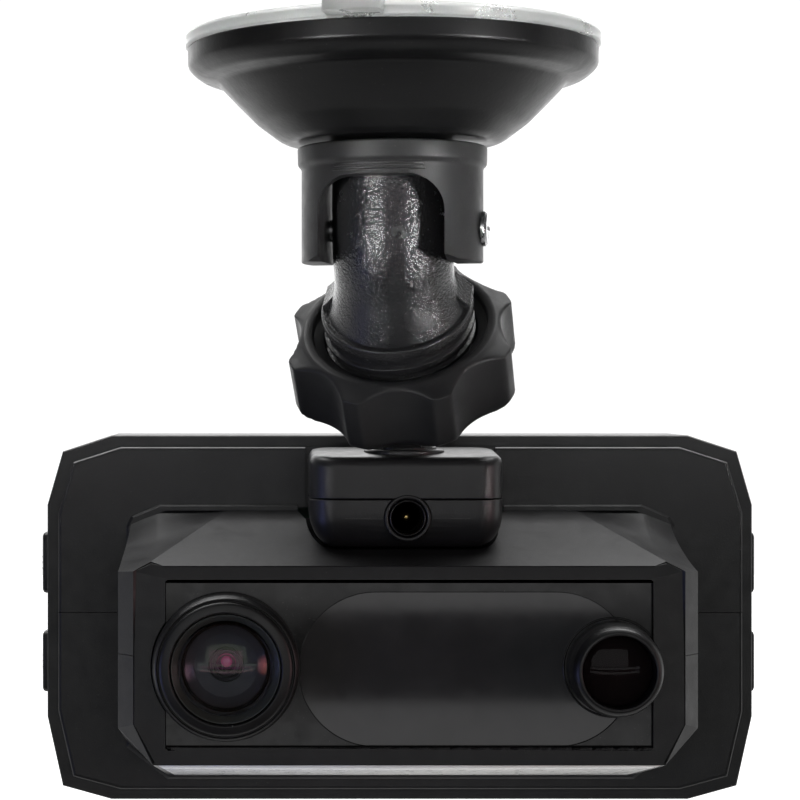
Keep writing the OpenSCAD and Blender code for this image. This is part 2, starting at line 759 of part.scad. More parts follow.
module memory_card() {
    color([0.1, 0.1, 0.1]) in_device()
        box([card_x - 5.5, card_y - 0.5, -27.9], [card_x + 5.5, card_y + 0.5, -12.9]);
}

module case_screws() {
    color("silver") in_device() for (x = [-screw_x, screw_x]) for (z = [-screw_z, screw_z]) {
        rod_y(x, z, 1, 9, back_y - 1.3);
        difference() {
            rod_y(x, z, 2, back_y - 1.3, back_y - 0.2);
            for (a = [0, 90]) translate([x, back_y - 0.6, z]) rotate([0, a, 0])
                box([-1.2, 0, -0.2], [1.2, 1, 0.2]);
        }
    }
}

suction_cup();
suction_bell();
release_spring();
cup_stem();
lever_pin();
lock_lever();
arm_elbow();
ball_seat();
clamp_nut();
ball_stud();
dock_top_cover();
dock_lower_shell();
power_jack_sleeve();
power_jack_contact();
dock_board();
dock_magnets();
dock_contact_pins();
dock_screws();
rear_shell();
front_shell_upper();
front_shell_lower();
front_bezel();
front_panel();
sensor_window();
camera_barrel();
lens_retaining_ring();
camera_lens();
lens_cell();
rear_lens_group();
image_sensor_board();
laser_barrel();
laser_lens();
laser_sensor_board();
radar_horn();
radar_board();
gps_antenna();
main_board();
battery();
speaker();
device_magnets();
contact_pads();
display_glass();
display_module();
button_left_upper();
button_left_lower();
button_right_upper();
button_right_lower();
button_switches();
card_socket();
memory_card();
case_screws();
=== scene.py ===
import json
import math
import bmesh
import bpy
from mathutils import Matrix, Vector


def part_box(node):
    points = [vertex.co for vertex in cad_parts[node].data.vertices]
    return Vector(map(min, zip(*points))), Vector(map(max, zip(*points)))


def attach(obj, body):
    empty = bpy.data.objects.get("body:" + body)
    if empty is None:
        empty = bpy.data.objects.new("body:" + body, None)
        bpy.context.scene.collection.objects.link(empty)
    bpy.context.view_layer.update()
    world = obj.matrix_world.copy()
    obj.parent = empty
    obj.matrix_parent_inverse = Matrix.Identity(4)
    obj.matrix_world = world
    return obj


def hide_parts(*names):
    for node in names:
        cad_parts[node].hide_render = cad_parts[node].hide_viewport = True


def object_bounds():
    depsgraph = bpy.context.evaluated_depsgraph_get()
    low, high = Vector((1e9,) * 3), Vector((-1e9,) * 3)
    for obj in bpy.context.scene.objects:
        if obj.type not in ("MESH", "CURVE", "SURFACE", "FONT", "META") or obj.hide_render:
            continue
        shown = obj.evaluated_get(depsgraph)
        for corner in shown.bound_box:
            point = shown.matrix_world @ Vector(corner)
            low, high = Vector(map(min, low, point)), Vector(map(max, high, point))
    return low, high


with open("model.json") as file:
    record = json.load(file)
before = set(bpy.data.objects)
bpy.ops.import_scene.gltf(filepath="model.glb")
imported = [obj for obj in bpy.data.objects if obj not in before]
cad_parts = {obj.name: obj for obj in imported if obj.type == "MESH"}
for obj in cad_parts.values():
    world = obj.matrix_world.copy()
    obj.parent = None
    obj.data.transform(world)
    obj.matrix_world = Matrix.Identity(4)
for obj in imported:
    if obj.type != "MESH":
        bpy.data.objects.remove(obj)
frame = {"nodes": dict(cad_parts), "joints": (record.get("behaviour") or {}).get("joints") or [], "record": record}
cad_low, cad_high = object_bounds()

MM = 0.001
joints = {j["name"]: j for j in frame["joints"]}
arm_x = Vector(joints["lever_turn"]["axis"])
ball = Vector(joints["ball_tilt"]["pos_m"])
nut_axis = Vector(joints["nut_turn"]["axis"])
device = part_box("rear_shell")[0] + Vector((0.055, 0, 0.0283))
YAW = math.atan2(arm_x.y, arm_x.x)
DEV = Matrix.Translation(device)
ARM = Matrix.Rotation(YAW, 4, "Z")
NUT = Matrix.Translation(ball) @ Matrix((arm_x, nut_axis.cross(arm_x), nut_axis)).transposed().to_4x4()
IDENTITY = Matrix.Identity(4)


# ---------------------------------------------------------------- materials

MATS = {}


def principled(name):
    """A new material, its node tree and its shader."""
    m = bpy.data.materials.new(name)
    m.use_nodes = True
    nt = m.node_tree
    return m, nt, nt.nodes["Principled BSDF"]


def noise(nt, coords, scale, detail=2.0, rough=0.5):
    n = nt.nodes.new("ShaderNodeTexNoise")
    n.inputs["Scale"].default_value = scale
    n.inputs["Detail"].default_value = detail
    n.inputs["Roughness"].default_value = rough
    nt.links.new(coords, n.inputs["Vector"])
    return n.outputs["Fac"]


def ramp(nt, fac, stops):
    r = nt.nodes.new("ShaderNodeValToRGB")
    while len(r.color_ramp.elements) < len(stops):
        r.color_ramp.elements.new(0.5)
    for e, (at, c) in zip(r.color_ramp.elements, stops):
        e.position = at
        e.color = (*c, 1) if hasattr(c, "__len__") else (c, c, c, 1)
    nt.links.new(fac, r.inputs["Fac"])
    return r.outputs["Color"]


def surface(name, color, rough, spread=0.06, vary=0.18, grain=(3800, 0.00003, 0.5), blotch=140, dust=0.0,
            metal=0.0, brushed=None, **fixed):
    """A procedural surface: broad variation of tint and gloss, a fine grain, and a little dust."""
    m, nt, b = principled(name)
    coords = nt.nodes.new("ShaderNodeTexCoord").outputs["Object"]
    broad = noise(nt, coords, blotch, 3)
    dark = tuple(c * (1 - vary) for c in color)
    light = tuple(min(1, c * (1 + vary)) for c in color)
    tint = ramp(nt, broad, [(0.3, dark), (0.7, light)])
    fine = noise(nt, coords, grain[0], 2, 0.6)
    if dust:
        specks = noise(nt, coords, 2600, 1)
        mask = ramp(nt, specks, [(0.72, 0.0), (0.8, 1.0)])
        mix = nt.nodes.new("ShaderNodeMixRGB")
        mix.inputs["Color2"].default_value = (0.35, 0.35, 0.34, 1)
        scale = nt.nodes.new("ShaderNodeMath")
        scale.operation = "MULTIPLY"
        scale.inputs[1].default_value = dust
        nt.links.new(mask, scale.inputs[0])
        nt.links.new(scale.outputs[0], mix.inputs["Fac"])
        nt.links.new(tint, mix.inputs["Color1"])
        tint = mix.outputs["Color"]
    nt.links.new(tint, b.inputs["Base Color"])
    gloss = nt.nodes.new("ShaderNodeMapRange")
    gloss.inputs["From Min"].default_value = 0.3
    gloss.inputs["From Max"].default_value = 0.7
    gloss.inputs["To Min"].default_value = max(0.02, rough - spread)
    gloss.inputs["To Max"].default_value = rough + spread
    nt.links.new(noise(nt, coords, blotch * 2.7, 4, 0.65), gloss.inputs["Value"])
    nt.links.new(gloss.outputs["Result"], b.inputs["Roughness"])
    height = fine
    if brushed:
        stretch = nt.nodes.new("ShaderNodeMapping")
        stretch.inputs["Scale"].default_value = brushed
        nt.links.new(coords, stretch.inputs["Vector"])
        height = noise(nt, stretch.outputs["Vector"], grain[0], 3)
    bump = nt.nodes.new("ShaderNodeBump")
    bump.inputs["Distance"].default_value = grain[1]
    bump.inputs["Strength"].default_value = grain[2]
    nt.links.new(height, bump.inputs["Height"])
    nt.links.new(bump.outputs["Normal"], b.inputs["Normal"])
    b.inputs["Metallic"].default_value = metal
    for k, v in fixed.items():
        b.inputs[k.replace("_", " ")].default_value = v
    MATS[name] = m
    return m


BLACK = (0.012, 0.012, 0.0127)
surface("gel", (0.68, 0.69, 0.68), 0.3, 0.06, 0.05, (900, 0.00003, 0.25), 60,
        Transmission_Weight=0.72, IOR=1.34)
surface("mount_plastic", (0.012, 0.012, 0.0126), 0.47, dust=0.05, Specular_IOR_Level=0.3)
surface("arm_plastic", (0.0125, 0.0125, 0.0132), 0.24, 0.04, 0.15, (2200, 0.00014, 1.0), dust=0.05)
surface("casing_plastic", BLACK, 0.46, dust=0.04)
surface("dock_plastic", (0.011, 0.011, 0.0117), 0.4, dust=0.04)
surface("bezel_plastic", (0.011, 0.011, 0.0117), 0.44, dust=0.04)
surface("gloss_black", (0.013, 0.013, 0.0133), 0.09, 0.04, 0.2, (160, 0.000004, 0.1), dust=0.1,
        Specular_IOR_Level=0.36)
surface("window_plastic", (0.04, 0.04, 0.0405), 0.05, 0.012, 0.12, (120, 0.000002, 0.1))
surface("barrel_plastic", (0.008, 0.008, 0.0084), 0.38, 0.06, 0.2, (2600, 0.00002, 0.4), dust=0.05)
surface("ring_metal", (0.05, 0.056, 0.052), 0.42, 0.08, 0.15, (3000, 0.00001, 0.3), metal=0.2)
surface("steel", (0.56, 0.56, 0.57), 0.24, 0.08, 0.1, (1600, 0.00001, 0.4), metal=1.0)
surface("gold_contact", (0.83, 0.62, 0.26), 0.25, 0.08, 0.08, (2200, 0.00001, 0.3), metal=1.0)
surface("circuit_board", (0.012, 0.09, 0.04), 0.42, 0.08, 0.25, (1200, 0.00004, 0.4), 400)
surface("nickel", (0.62, 0.61, 0.59), 0.2, 0.07, 0.06, (1800, 0.00001, 0.3), metal=1.0)
surface("cast_metal", (0.42, 0.42, 0.43), 0.42, 0.1, 0.12, (1300, 0.00005, 0.5), metal=1.0)
surface("patch_ceramic", (0.6, 0.54, 0.42), 0.5, 0.08, 0.1, (2000, 0.00003, 0.4))
surface("battery_wrap", (0.03, 0.07, 0.22), 0.28, 0.06, 0.1, (500, 0.00008, 0.4))
surface("speaker_cone", (0.02, 0.02, 0.022), 0.6, 0.08, 0.2, (2500, 0.00004, 0.5))
surface("card_plastic", (0.012, 0.012, 0.013), 0.4, 0.06, 0.2)
surface("seat_nylon", (0.05, 0.05, 0.05), 0.55, 0.06, 0.1)
surface("display_glass", (0.004, 0.004, 0.005), 0.05, 0.025, 0.2, (160, 0.000004, 0.1), dust=0.12,
        Coat_Weight=0.7, Coat_Roughness=0.03)
surface("coated_glass", (0.78, 0.8, 0.84), 0.03, 0.01, 0.03, (300, 0.000002, 0.05),
        Transmission_Weight=1.0, IOR=1.42, Thin_Film_Thickness=300.0, Thin_Film_IOR=1.3)
surface("laser_glass", (0.1, 0.07, 0.075), 0.04, 0.015, 0.05, (300, 0.000002, 0.05),
        Transmission_Weight=0.9, IOR=1.2)
# The bell's material is a darker copy of the mount plastic. Its lower roughness is the bell's own gloss. Its
# darker base colour and weaker specular are painted shade, because little light reaches the bell from below.
BELL_PAINTED_SHADE = surface("bell_plastic_painted_shade", (0.003, 0.003, 0.0032), 0.36, 0.05, 0.2, (1500, 0.00004, 0.5), dust=0.05,
               Specular_IOR_Level=0.2)
CELL = surface("cell_finish", (0.12, 0.12, 0.13), 0.34, 0.06, 0.15, (2600, 0.00001, 0.3))
# The underside strip's near-white colour is a painted reflection of grazing light on the casing's black underside.
PAINTED_SHEEN = surface("underside_painted_sheen", (0.9, 0.9, 0.88), 0.3, 0.06, 0.02, (1500, 0.000005, 0.3))
# The pupil's magenta emission is painted light: the pupil glows though it is no lamp, standing in for the coloured
# reflection deep in the lens.
PUPIL_PAINTED_GLOW = surface("pupil_painted_glow", (0.35, 0.02, 0.13), 0.08, 0.03, 0.1, (300, 0.000002, 0.05), Coat_Weight=1.0,
                Coat_Roughness=0.03, Emission_Color=(0.5, 0.0, 0.12, 1), Emission_Strength=0.25)


# ---------------------------------------------------------------- mesh tools

def piece(name, parts, place, body, slot, nodes=(), bevel=(0.25, 3, 30), material=None):
    """One finished piece from vertex and face lists in mm, or meshes, put in its frame with rounded edges."""
    bm = bmesh.new()
    for part in parts:
        if isinstance(part, bpy.types.Mesh):
            bm.from_mesh(part)
            continue
        verts, faces = part
        made = [bm.verts.new(v) for v in verts]
        for f in faces:
            loop = []
            for i in f:
                if made[i] not in loop:
                    loop.append(made[i])
            if len(loop) > 2:
                try:
                    bm.faces.new(loop)
                except ValueError:
                    continue
    bmesh.ops.remove_doubles(bm, verts=bm.verts, dist=0.0008)
    bmesh.ops.dissolve_degenerate(bm, edges=bm.edges, dist=0.0005)
    bmesh.ops.recalc_face_normals(bm, faces=bm.faces)
    bm.transform(place @ Matrix.Scale(MM, 4))
    me = bpy.data.meshes.new(name)
    bm.to_mesh(me)
    bm.free()
    for p in me.polygons:
        p.use_smooth = True
    me.materials.append(material or MATS[slot])
    o = bpy.data.objects.new(name, me)
    bpy.context.scene.collection.objects.link(o)
    if bevel:
        b = o.modifiers.new("edges", "BEVEL")
        b.width, b.segments = bevel[0] * MM, bevel[1]
        b.limit_method, b.angle_limit = "ANGLE", math.radians(bevel[2])
        b.harden_normals = True
        b.miter_outer = "MITER_ARC"
        w = o.modifiers.new("shading", "WEIGHTED_NORMAL")
        w.keep_sharp = True
        w.weight = 60
    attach(o, body)
    if nodes:
        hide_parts(*nodes)
    return o


def mesh_of(part):
    """A closed solid as a mesh in mm, its normals outward."""
    me = bpy.data.meshes.new("tmp")
    me.from_pydata([tuple(v) for v in part[0]], [], part[1])
    bm = bmesh.new()
    bm.from_mesh(me)
    bmesh.ops.remove_doubles(bm, verts=bm.verts, dist=0.0005)
    bmesh.ops.recalc_face_normals(bm, faces=bm.faces)
    bm.to_mesh(me)
    bm.free()
    return me


def carve(base, cutters, operation="DIFFERENCE"):
    """base less the cutters (or cut to them, or joined with them), as a mesh in mm."""
    scene = bpy.context.scene.collection
    o = bpy.data.objects.new("work", base if isinstance(base, bpy.types.Mesh) else mesh_of(base))
    scene.objects.link(o)
    tools = []
    for c in cutters:
        t = bpy.data.objects.new("tool", c if isinstance(c, bpy.types.Mesh) else mesh_of(c))
        scene.objects.link(t)
        tools.append(t)
        m = o.modifiers.new("cut", "BOOLEAN")
        m.operation, m.solver, m.object = operation, "EXACT", t
    bpy.context.view_layer.update()
    done = bpy.data.meshes.new_from_object(o.evaluated_get(bpy.context.evaluated_depsgraph_get()))
    for t in tools + [o]:
        bpy.data.objects.remove(t)
    bm = bmesh.new()
    bm.from_mesh(done)
    bmesh.ops.remove_doubles(bm, verts=bm.verts, dist=0.001)
    bmesh.ops.dissolve_limit(bm, angle_limit=math.radians(0.4), verts=bm.verts, edges=bm.edges)
    bm.to_mesh(done)
    bm.free()
    return done


def loft(rings, closed=True, caps=(True, True)):
    """Faces between rings of equal length."""
    n = len(rings[0])
    verts = [tuple(v) for r in rings for v in r]
    faces = []
    for i in range(len(rings) - 1):
        for k in range(n if closed else n - 1):
            a, b = i * n + k, i * n + (k + 1) % n
            faces.append((a, b, b + n, a + n))
    if caps[0]:
        faces.append(tuple(range(n))[::-1])
    if caps[1]:
        faces.append(tuple(range((len(rings) - 1) * n, len(rings) * n)))
    return verts, faces


def prism(outline, y0, y1):
    """An outline in X and Z, carried from one Y to another."""
    return loft([[(x, y, z) for x, z in outline] for y in (y0, y1)])


def column(outline, *heights):
    """An outline in X and Y, raised through the heights."""
    return loft([[(x, y, z) for x, y in outline] for z in heights])


def across(outline, *places):
    """An outline in Y and Z, carried along X."""
    return loft([[(x, y, z) for y, z in outline] for x in places])


def boxed(low, high):
    (a, b, c), (d, e, f) = low, high
    return column([(a, b), (d, b), (d, e), (a, e)], c, f)


def arc(cx, cz, r, start, end, n):
    """Points on an arc, from one angle to another in degrees."""
    angles = [math.radians(start + (end - start) * k / n) for k in range(n + 1)]
    return [(cx + r * math.cos(a), cz + r * math.sin(a)) for a in angles]


def dome(width, radius, apex, n):
    """The profile of a lens's domed face, from its middle out to its edge."""
    return [(width * k / n, apex + (radius - math.sqrt(radius ** 2 - (width * k / n) ** 2)))
            for k in range(n + 1)]


def circle(r, n=64, x=0.0, z=0.0, start=0.0):
    return [(x + r * math.cos(start + 2 * math.pi * k / n), z + r * math.sin(start + 2 * math.pi * k / n))
            for k in range(n)]


def rod(x, z, r, y0, y1, n=48):
    return prism(circle(r, n, x, z), y0, y1)


def lathe(points, steps=96, axis="Z", at=(0, 0, 0), closed=False):
    """Turns [radius, height] points about an axis. A closed list joins its ends, and radius 0 is capped."""
    rings = []
    for r, h in points + ([points[0]] if closed else []):
        ring = []
        for k in range(steps):
            a = 2 * math.pi * k / steps
            u, v = max(r, 1e-5) * math.cos(a), max(r, 1e-5) * math.sin(a)
            p = (u, v, h) if axis == "Z" else (u, h, v) if axis == "Y" else (h, u, v)
            ring.append(tuple(p[i] + at[i] for i in range(3)))
        rings.append(ring)
    return loft(rings, caps=(points[0][0] == 0, points[-1][0] == 0))


def round_rect(x0, y0, x1, y1, r, n=8):
    pts = []
    corners = ((x1 - r, y1 - r, 0), (x0 + r, y1 - r, 90), (x0 + r, y0 + r, 180), (x1 - r, y0 + r, 270))
    for cx, cy, a0 in corners:
        for k in range(n + 1):
            a = math.radians(a0 + 90 * k / n)
            pts.append((cx + r * math.cos(a), cy + r * math.sin(a)))
    return pts


def fillet(points, r, n=4):
    """Rounds the inner corners of an open [radius, height] profile."""
    out = [points[0]]
    for a, b, c in zip(points, points[1:], points[2:]):
        va, vc = Vector(a) - Vector(b), Vector(c) - Vector(b)
        d = min(r, va.length * 0.45, vc.length * 0.45)
        p, q = Vector(b) + va.normalized() * d, Vector(b) + vc.normalized() * d
        for k in range(n + 1):
            t = k / n
            out.append(tuple(p * (1 - t) ** 2 + Vector(b) * 2 * t * (1 - t) + q * t * t))
    return out + [points[-1]]


# ---------------------------------------------------------------- suction mount

# The gel cup, a flat disc with a rolled rim, and its pull tab with three ribs
gel = fillet([(0, -0.05), (26, -0.05), (26.4, -0.3), (27, -0.05), (28.0, -0.05), (28.4, -0.4), (28.9, -0.3),
              (30.1, -0.55), (30.7, -1.1), (30.5, -1.8), (30.6, -2.35), (30.0, -2.6), (25.5, -2.6)], 0.25)
gel += [(21.5, -5.6), (12, -9.6), (8.4, -9.6), (8.4, -2.4), (0, -2.4)]
tab = loft([[(x, y, z) for x, y in round_rect(-4 + i, -34.3 + i, 4 - i, -27.5, 1.6)]
            for z, i in ((-2.3, 0.35), (-2.05, 0), (-0.35, 0), (-0.05, 0.3))])
ribs = [boxed((-3, y, -0.1), (3, y + 0.5, 0)) for y in (-33.3, -32.3, -31.4)]
piece("gel_cup", [lathe(gel, 160)], IDENTITY, "mount", "gel", ["suction_cup"], None)
piece("gel_tab", [tab] + ribs, ARM, "mount", "gel", (), (0.15, 2, 30))

# The bell over it, from the collar up to the flange
bell = fillet([(8.25, -13.5), (8.25, -16.5), (15.5, -16.5), (16.7, -15.95), (20.1, -13.4), (22.8, -10.7),
               (24.9, -8.5), (25.5, -7.8), (26.0, -7.55), (26.6, -7.4), (28.3, -6.9), (29.5, -6.0),
               (30.15, -5.25), (30.2, -2.7), (29.9, -2.5), (26.6, -2.5), (22.6, -6.6), (18.2, -11.8),
               (15, -13.5), (8.25, -13.5)], 0.6)
# The bell's darker material is painted shade on the mount plastic.
piece("bell", [lathe(bell, 160)], IDENTITY, "mount", "mount_plastic", ["suction_bell"], (0.2, 3, 28), BELL_PAINTED_SHADE)

# The lever: a half barrel under a lip, arched in front, with two legs on the pin
PIN = Matrix.Translation((0, 0, joints["lever_turn"]["pos_m"][2]))
barrel = lathe(fillet([(0, -4.9), (13.4, -4.9), (13.4, 8.9), (13.95, 9.5), (14.0, 11.9), (13.7, 12.1),
                       (0, 12.1)], 0.3), 144)
side = [(-15, 13.2), (1, 13.2), (1, 12.1), (3.2, 8.4), (4.7, 5.8), (5, 5), (5, -3), (4.6, -4.0),
        (3.4, -4.9), (-7.2, -4.9), (-9.8, -4.1), (-14, 1.3), (-15, 1.3)]
LEG_IN, LEG_FOOT = 9.2, -7
arch = [(-LEG_IN, LEG_FOOT), (LEG_IN, LEG_FOOT)]
arch += arc(LEG_IN - 5, 2.2, 5, 0, 90, 10) + arc(5 - LEG_IN, 2.2, 5, 90, 180, 10)
pin_bore = across(circle(1.65, 40), -20, 20)
body = carve(carve(barrel, [across(side, -20, 20)], "INTERSECT"),
             [boxed((-LEG_IN, -9.3, LEG_FOOT), (LEG_IN, 11, 13.5)), prism(arch, -20, 1), pin_bore])
# Three grip lines on the lip, each a little shorter than the one below
grips = []
for i in range(3):
    z = 7.75 + 0.62 * i
    span = math.radians(30 - 1.2 * i)
    rings = []
    for k in range(25):
        a = -math.pi / 2 - span + 2 * span * k / 24
        rings.append([(r * math.cos(a), r * math.sin(a), z + dz)
                      for r, dz in ((13.1, 0), (13.62, 0.05), (13.62, 0.29), (13.1, 0.34))])
    grips.append(loft(rings))
piece("lever", [body], ARM @ PIN, "lever", "mount_plastic", ["lock_lever"], (0.45, 3, 32))
piece("lever_grips", grips, ARM @ PIN, "lever", "mount_plastic", (), (0.08, 2, 40))
screw = carve(lathe([(0, 13.35), (2.6, 13.35), (2.6, 13.9), (2.2, 14.25), (0, 14.3)], 48, "X"),
              [boxed((13.95, -1.6, -0.28), (15, 1.6, 0.28)), boxed((13.95, -0.28, -1.6), (15, 0.28, 1.6))])
shaft = lathe([(0, -13.0), (1.3, -13.0), (1.58, -12.7), (1.58, 13.36), (0, 13.36)], 40, "X")
piece("lever_screw", [screw, shaft], ARM @ PIN, "stem", "steel", ["lever_pin"], (0.08, 2, 35))

# The arm: tube, bend, collar and threaded socket
TILT = math.acos(nut_axis.z)
arm_offset = math.hypot(ball.x, ball.y) / MM
drop = -ball.z / MM
BEND = 20.0
TUBE_R, FLARE, FLARE_RUN, PARTING = 8.9, 1.75, 5.5, 0.07
straight = (arm_offset - BEND * (1 - math.cos(TILT))) / math.sin(TILT)
bend_top = drop - straight * math.cos(TILT) - BEND * math.sin(TILT)
path = [((0, 0, z), 0.0) for z in (-16.45, -17.2, -20, -24, -bend_top)]
for k in range(1, 25):
    a = TILT * k / 24
    path.append(((0, BEND * (1 - math.cos(a)), -bend_top - BEND * math.sin(a)), a))
rings = []
for i, (c, a) in enumerate(path):
    ring = []
    left = BEND * (TILT - a)
    tube_r = TUBE_R + FLARE * max(0, 1 - left / FLARE_RUN) ** 1.5
    if i == 0:
        tube_r = 9.5
    for k in range(96):
        b = 2 * math.pi * k / 96 - math.pi / 2
        r = tube_r + (PARTING if k == 0 else 0)
        u, v = r * math.cos(b), r * math.sin(b)
        ring.append((c[0] + u, c[1] + v * math.cos(a), c[2] + v * math.sin(a)))
    rings.append(ring)
tube = loft(rings, caps=(False, False))
socket = fillet([(9.15, -1.5), (10.6, -1.5), (10.9, -1.2), (10.9, 8.3), (11.4, 8.45), (11.4, 9.8),
                 (11.15, 10.0), (8.5, 10.05)], 0.15) + [(8.4, 6.5), (9.1, 0), (9.15, -1.5)]
thread = []
TURNS, PITCH, STEPS = 4.2, 1.9, 72
for k in range(int(TURNS * STEPS)):
    a = 2 * math.pi * k / STEPS
    t = -0.7 + PITCH * k / STEPS
    grow = min(1, k / 12, (TURNS * STEPS - 1 - k) / 12)
    thread.append([(r * math.cos(a), r * math.sin(a), t + dz) for r, dz in
                   ((10.7, -0.55), (10.85 + 0.55 * grow, -0.18), (10.85 + 0.55 * grow, 0.18), (10.7, 0.55))])
gussets = []
for s in (-1, 1):
    shape = [(s * 7, 9.2), (s * 11.1, 9.2), (s * 11.1, 10.6), (s * 10.4, 11.2), (s * 9.5, 12.2),
             (s * 8.8, 13.2), (s * 7, 13.2)]
    gussets.append(loft([[(x, y, t) for x, t in shape] for y in (-1.1, 3.9)]))
piece("arm_tube", [tube], ARM, "mount", "arm_plastic", ["arm_elbow"], None)
piece("arm_socket", [lathe(socket, 120), loft(thread)] + gussets, NUT, "mount", "arm_plastic", (),
      (0.18, 2, 35))


def soft_min(a, b, k):
    """The smaller of two numbers, rounded over a width of k where they meet."""
    h = max(k - abs(a - b), 0) / k
    return min(a, b) - h * h * k / 4


# The clamp nut: scalloped grip, coned shoulder and recessed bore
LOBES, PHASE, NUT_R = 8, math.radians(5 - 90), 17.7
HOLLOW_R, HOLLOW_OUT, NUT_STEPS = 10.0, 7.44, 320


def scallop(theta):
    """Radius of the grip in a direction, its hollows cut by circles outside the rim."""
    step = 2 * math.pi / LOBES
    d = (theta - PHASE + step / 2) % step - step / 2
    c = NUT_R + HOLLOW_OUT
    root = HOLLOW_R ** 2 - (c * math.sin(d)) ** 2
    inner = c * math.cos(d) - math.sqrt(root) if root > 0 else 99
    return soft_min(NUT_R, inner, 0.55)


levels = [(-4.5, 8.9, 0), (-4.9, 9.4, 0), (-5.2, 10.0, 0), (-5.2, 13.6, 0), (-5.15, 15.3, 1),
          (-4.9, 16.15, 1), (-4.4, 16.95, 1), (-3.8, 17.5, 1), (-3.2, 17.7, 1), (4.72, 17.7, 1),
          (4.88, 17.64, 1), (4.98, 17.5, 1), (5.06, 17.25, 1), (5.3, 16.5, 1), (5.55, 15.9, 1),
          (5.8, 15.35, 1), (6.05, 14.85, 1), (6.25, 14.6, 0), (6.32, 14.4, 0), (6.28, 13.5, 0),
          (6.1, 13.25, 0), (5.2, 13.2, 0), (4.95, 13.0, 0), (4.9, 11.75, 0), (4.6, 11.6, 0),
          (-1.8, 11.6, 0), (-2.0, 9.4, 0), (-3.4, 8.6, 0)]
rings = []
for t, r, lobed in levels:
    ring = []
    for k in range(NUT_STEPS):
        th = 2 * math.pi * k / NUT_STEPS
        rr = soft_min(r, scallop(th) - (NUT_R - r) * 0.3 * (t < 0), 0.35) if lobed else r
        ring.append((rr * math.cos(th), rr * math.sin(th), t))
    rings.append(ring)
rings.append(rings[0])
piece("nut", [loft(rings, caps=(False, False))], NUT, "nut", "mount_plastic", ["clamp_nut"], None)

# The ball, its neck and the turning base in the dock
STUD = DEV @ Matrix.Translation((0, -0.010, 0))
NECK_R, BALL_R, BALL_Z = 3.3, 9, 40.7
neck = math.asin(NECK_R / BALL_R)
ball_arc = [(BALL_R * math.sin(a), BALL_Z - BALL_R * math.cos(a))
            for a in [neck + (math.pi - neck) * k / 30 for k in range(31)]]
stud = fillet([(0, 22.6), (6.2, 22.6), (6.2, 24.2), (4.9, 24.25), (4.9, 26.9), (4.6, 27.3), (4.2, 28.2),
               (NECK_R, 31.4)], 0.4) + [(NECK_R, ball_arc[0][1])] + ball_arc[1:-1] + [(0, BALL_Z + BALL_R)]
piece("ball_and_neck", [lathe(stud, 96)], STUD, "ball", "arm_plastic", ["ball_stud"], None)


# ---------------------------------------------------------------- dock

def dock_outline(i, n=8):
    """The dock from above, drawn in by i."""
    return round_rect(-14.45 + i, -19 + i, 14.45 - i, -1.9 - i, max(4 - i, 0.6), n)


def dock_top(y):
    """Height of the dock's top, which falls to the front and rounds off there."""
    return min(26.8, 25.75 + (y + 17.5) * 0.068) - (0.045 * max(0, -16.6 - y) ** 2)


lower = []
for k in range(9):
    a = math.pi / 2 * k / 8
    lower.append((3.9 * (1 - math.sin(a)), 12.1 + 5.2 * (1 - math.cos(a))))
lower += [(0, 18.4), (0, 19.2), (0.12, 19.3)]
dock_low = loft([[(x, y, z) for x, y in dock_outline(i)] for i, z in lower])
JACK = (0, 0, 16.6)
CONTACTS = [(x, -4.6) for x in (-3, -1, 1, 3)]
socket_cut = lathe([(0, -19.6), (3.75, -19.6), (3.55, -18.75), (2.95, -18.6), (2.95, -12), (0, -12)], 64,
                   "Y", JACK)
groove = [boxed((x, -20, 16.53), (x + 5.6, -18.86, 16.67)) for x in (-9.2, 3.6)]
pins = [column(circle(0.75, 24, x, y), 11, 15) for x, y in CONTACTS]
wells = [column(circle(1.7, 32, x, -6), 11, 14.2) for x in (-9.3, 9.3)]
dock_low = carve(dock_low, [socket_cut] + groove + pins + wells)
piece("dock_lower", [dock_low], DEV, "dock", "dock_plastic", ["dock_lower_shell"], (0.14, 2, 30))
ring = lathe(fillet([(2.85, -18.0), (2.85, -18.95), (3.0, -19.15), (3.35, -19.15), (3.5, -18.9),
                     (3.5, -18.2)], 0.12), 64, "Y", JACK)
piece("dock_jack_ring", [ring], DEV, "dock", "dock_plastic", (), None)

top_rings = [[(x, y, 19.4) for x, y in dock_outline(0.12)], [(x, y, 19.5) for x, y in dock_outline(0)]]
top_rings += [[(x, y, dock_top(y) - d) for x, y in dock_outline(i)]
              for i, d in ((0, 1.5), (0.05, 1.0), (0.25, 0.5), (0.6, 0.15), (1.2, 0), (3.0, 0), (5.5, 0))]
dock_cap = carve(loft(top_rings), [column(circle(5.3, 48, 0, -10), 20, 30)])
collar = lathe([(5.0, 25.2), (5.0, 26.45), (5.15, 26.6), (5.9, 26.6), (6.1, 26.4), (6.1, 25.2)], 72, "Z",
               (0, -10, 0))
piece("dock_upper", [dock_cap, collar], DEV, "dock", "dock_plastic", ["dock_top_cover"], (0.14, 2, 40))
jack = lathe(fillet([(2.4, -15.5), (2.4, -19.0), (2.55, -19.2), (2.7, -19.05), (2.75, -18.5),
                     (2.75, -12.5)], 0.1), 56, "Y", JACK)
piece("jack_sleeve", [jack, lathe([(0, -12.0), (2.3, -12.0), (2.35, -15.6)], 48, "Y", JACK)], DEV, "dock",
      "barrel_plastic", ["power_jack_sleeve"], None)
tip = lathe(fillet([(0, -15.9), (0.35, -15.8), (0.62, -15.2), (0.65, -10.4), (0, -10.4)], 0.15), 24, "Y",
            JACK)
piece("jack_pin", [tip], DEV, "dock", "gold_contact", ["power_jack_contact"], None)

# ---------------------------------------------------------------- rear casing


def outline(i):
    """The casing from the front, drawn in by i."""
    half = [(45, 28.3), (52.6, 25.8), (55, 17.5), (55, -15.4), (52.6, -26.2), (45, -28.3)]
    pts = half + [(-x, z) for x, z in reversed(half)]
    return [(x * (1 - i / 55), z * (1 - i / 28.3)) for x, z in pts]


